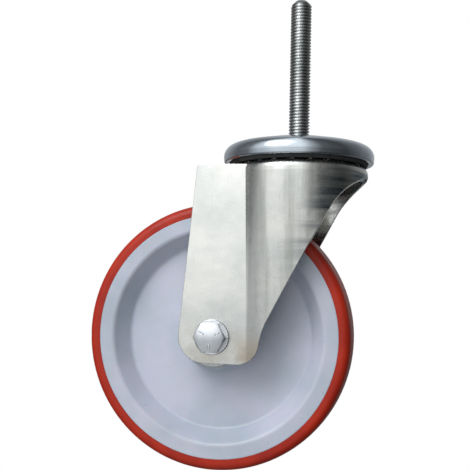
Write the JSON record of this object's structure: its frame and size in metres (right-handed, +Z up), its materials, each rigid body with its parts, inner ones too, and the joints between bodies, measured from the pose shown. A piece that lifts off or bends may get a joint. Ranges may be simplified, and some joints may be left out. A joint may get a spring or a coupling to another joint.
{
  "type": "threaded-stem swivel castor",
  "caption": "Swivel castor: a pressed steel fork turns on a ball race under a threaded stem and carries a red polyurethane wheel with a white centre.",
  "frame": {"origin": "on the swivel axis, in the plane of the head's mounting face", "axes": "+Z up the threaded stem, the wheel trails towards -X, and the axle lies along Y"},
  "size_m": [0.1334, 0.0724, 0.2244],
  "materials": {
    "head_zinc": "bright zinc plate, polished by the press tool",
    "seal_rubber": "matt",
    "stem_zinc": "bright zinc plate",
    "fastener_zinc": "bright zinc plate",
    "ball_steel": "ground and polished",
    "fork_zinc": "zinc plate with a faint yellow cast, lightly scratched",
    "nylon": "natural",
    "white_polyamide": "translucent white, semi-gloss",
    "red_polyurethane": "semi-gloss"
  },
  "bodies": {
    "head": {"head_plate": "head_zinc", "king_pin": "head_zinc", "lower_race": "head_zinc", "dust_seal": "seal_rubber", "stem_bolt": "stem_zinc", "stem_washer": "fastener_zinc"},
    "upper_race_balls": {"upper_balls": "ball_steel"},
    "lower_race_balls": {"lower_balls": "ball_steel"},
    "swivel_fork": {"fork": "fork_zinc", "axle_bolt": "fastener_zinc", "bolt_washer": "fastener_zinc", "nut_washer": "fastener_zinc", "axle_nut": "fastener_zinc", "nut_insert": "nylon", "axle_tube": "ball_steel", "thrust_washer_near": "nylon", "thrust_washer_far": "nylon"},
    "bearing": {"roller_cage": "nylon", "rollers": "ball_steel"},
    "wheel": {"wheel_centre": "white_polyamide", "tyre": "red_polyurethane"}
  },
  "joints": [
    {"name": "swivel", "type": "hinge", "parent": "head", "child": "swivel_fork", "pos_m": [0, 0, 0], "axis": [0, 0, 1], "continuous": true},
    {"name": "wheel_spin", "type": "hinge", "parent": "swivel_fork", "child": "wheel", "pos_m": [-0.035, 0, -0.0925], "axis": [0, 1, 0], "continuous": true},
    {"name": "upper_balls_orbit", "type": "hinge", "parent": "head", "child": "upper_race_balls", "pos_m": [0, 0, 0], "axis": [0, 0, 1], "continuous": true},
    {"name": "lower_balls_orbit", "type": "hinge", "parent": "head", "child": "lower_race_balls", "pos_m": [0, 0, 0], "axis": [0, 0, 1], "continuous": true},
    {"name": "rollers_orbit", "type": "hinge", "parent": "swivel_fork", "child": "bearing", "pos_m": [-0.035, 0, -0.0925], "axis": [0, 1, 0], "continuous": true}
  ],
  "couplings": [
    {"joint": "upper_balls_orbit", "follows": "swivel", "ratio": 0.5},
    {"joint": "lower_balls_orbit", "follows": "swivel", "ratio": 0.5},
    {"joint": "rollers_orbit", "follows": "wheel_spin", "ratio": 0.6144}
  ]
}
